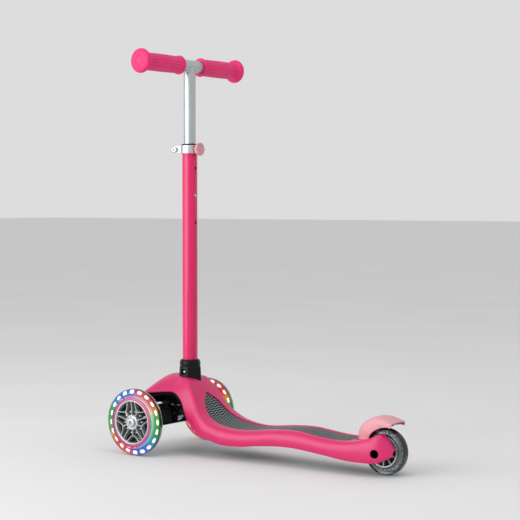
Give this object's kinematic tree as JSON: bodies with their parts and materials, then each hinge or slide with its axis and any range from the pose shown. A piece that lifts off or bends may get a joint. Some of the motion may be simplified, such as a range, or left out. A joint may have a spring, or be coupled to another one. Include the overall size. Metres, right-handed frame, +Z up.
{
  "type": "kick scooter",
  "caption": "Child's lean-to-steer kick scooter: contoured deck on three wheels, light-up front pair, sprung rear brake fender and a removable, height-adjustable T-bar.",
  "frame": {"origin": "on the floor, under the middle of the bounding box", "axes": "+X the way it rolls, +Y the rider's left, +Z up"},
  "size_m": [0.5696, 0.2826, 0.7323],
  "materials": {
    "pink_paint": "glossy powder coat",
    "pink_plastic": "satin moulded",
    "pink_rubber": "matt ribbed",
    "pale_pink_plastic": "satin moulded",
    "black_plastic": "fine texture",
    "mat_rubber": "wavy ridges",
    "anodised_aluminium": "satin anodised",
    "zinc_steel": "zinc plated",
    "wheel_core_grey": "satin moulded",
    "clear_urethane": "clear cast urethane",
    "grey_urethane": "smoky cast urethane",
    "light_ring_pink": "translucent"
  },
  "bodies": {
    "deck": {"deck_shell": "pink_plastic", "deck_frame": "black_plastic", "foot_mat": "mat_rubber", "stem_socket": "black_plastic", "steering_housing": "black_plastic", "kingpin": "zinc_steel", "kingpin_nut": "zinc_steel", "bushing_front": "mat_rubber", "bushing_rear": "mat_rubber", "housing_screw_1": "zinc_steel", "housing_screw_2": "zinc_steel", "housing_screw_3": "zinc_steel", "housing_screw_4": "zinc_steel", "rear_axle": "zinc_steel", "rear_axle_nut": "zinc_steel", "brake_pin": "zinc_steel"},
    "lower_t_bar": {"lower_tube": "pink_paint", "tube_bush": "black_plastic", "clamp_collar": "anodised_aluminium", "clamp_bolt": "zinc_steel", "clamp_nut": "zinc_steel", "base_leaf": "zinc_steel"},
    "upper_t_bar": {"upper_tube": "anodised_aluminium", "grip_left": "pink_rubber", "grip_right": "pink_rubber", "height_leaf": "zinc_steel"},
    "height_pin": {"height_button": "zinc_steel"},
    "base_pin": {"base_button": "zinc_steel"},
    "clamp_pad": {"clamp_pad": "black_plastic"},
    "clamp_knob": {"clamp_knob": "pale_pink_plastic", "knob_stud": "zinc_steel"},
    "truck": {"truck_beam": "black_plastic", "front_axle_left": "zinc_steel", "front_axle_right": "zinc_steel", "steering_spring_left": "zinc_steel", "steering_spring_right": "zinc_steel"},
    "rear_wheel": {"rear_tyre": "grey_urethane", "rear_wheel_core": "wheel_core_grey", "rear_bearing_left": "zinc_steel", "rear_bearing_right": "zinc_steel", "rear_spacer": "zinc_steel"},
    "brake": {"brake_fender": "pale_pink_plastic", "brake_pad": "black_plastic", "brake_spring": "zinc_steel"},
    "steering_lock": {"steering_lock_button": "black_plastic"},
    "front_wheel_left": {"tyre_left": "clear_urethane", "light_ring_left": "light_ring_pink", "wheel_core_left": "wheel_core_grey", "wheel_backing_left": "black_plastic", "front_left_bearing_outer": "zinc_steel", "front_left_bearing_inner": "zinc_steel", "front_left_spacer": "zinc_steel"},
    "front_wheel_right": {"tyre_right": "clear_urethane", "light_ring_right": "light_ring_pink", "wheel_core_right": "wheel_core_grey", "wheel_backing_right": "black_plastic", "front_right_bearing_outer": "zinc_steel", "front_right_bearing_inner": "zinc_steel", "front_right_spacer": "zinc_steel"}
  },
  "joints": [
    {"name": "t_bar_release", "type": "slide", "parent": "deck", "child": "lower_t_bar", "axis": [0, 0, 1], "range_m": [0, 0.05], "deforming": ["base_button"]},
    {"name": "t_bar_height", "type": "slide", "parent": "lower_t_bar", "child": "upper_t_bar", "axis": [0, 0, 1], "range_m": [-0.05, 0.05], "deforming": ["height_button"]},
    {"name": "height_button_press", "type": "slide", "parent": "upper_t_bar", "child": "height_pin", "axis": [1, 0, 0], "range_m": [0, 0.0036], "stiffness_N_per_m": 600, "springref_m": -0.002, "deforming": ["height_leaf"]},
    {"name": "base_button_press", "type": "slide", "parent": "lower_t_bar", "child": "base_pin", "axis": [0, -1, 0], "range_m": [0, 0.0042], "stiffness_N_per_m": 600, "springref_m": -0.002, "deforming": ["base_leaf"]},
    {"name": "clamp_travel", "type": "slide", "parent": "lower_t_bar", "child": "clamp_pad", "axis": [-1, 0, 0], "range_m": [0, 0.0025]},
    {"name": "knob_turn", "type": "hinge", "parent": "clamp_pad", "child": "clamp_knob", "pos_m": [0.18175, 0, 0.55725], "axis": [-1, 0, 0], "range_deg": [0, 720]},
    {"name": "lean_steer", "type": "hinge", "parent": "deck", "child": "truck", "pos_m": [0.22425, 0, 0.07], "axis": [0.8192, 0, 0.5736], "range_deg": [-10, 10], "stiffness_Nm_per_rad": 30, "deforming": ["steering_spring_left", "steering_spring_right"]},
    {"name": "front_left_spin", "type": "hinge", "parent": "truck", "child": "front_wheel_left", "pos_m": [0.22425, 0.10615, 0.0605], "axis": [0, 1, 0], "continuous": true},
    {"name": "front_right_spin", "type": "hinge", "parent": "truck", "child": "front_wheel_right", "pos_m": [0.22425, -0.10615, 0.0605], "axis": [0, 1, 0], "continuous": true},
    {"name": "rear_spin", "type": "hinge", "parent": "deck", "child": "rear_wheel", "pos_m": [-0.24475, 0, 0.04], "axis": [0, 1, 0], "continuous": true},
    {"name": "brake_press", "type": "hinge", "parent": "deck", "child": "brake", "pos_m": [-0.19945, 0, 0.052], "axis": [0, -1, 0], "range_deg": [0, 4], "stiffness_Nm_per_rad": 1.5, "springref_deg": -8.59, "deforming": ["brake_spring"]},
    {"name": "steering_lock_press", "type": "slide", "parent": "deck", "child": "steering_lock", "axis": [-1, 0, 0], "range_m": [0, 0.005], "stiffness_N_per_m": 300, "springref_m": -0.002}
  ],
  "couplings": [
    {"joint": "knob_turn", "follows": "clamp_travel", "rad_per_m": 5026.5}
  ]
}
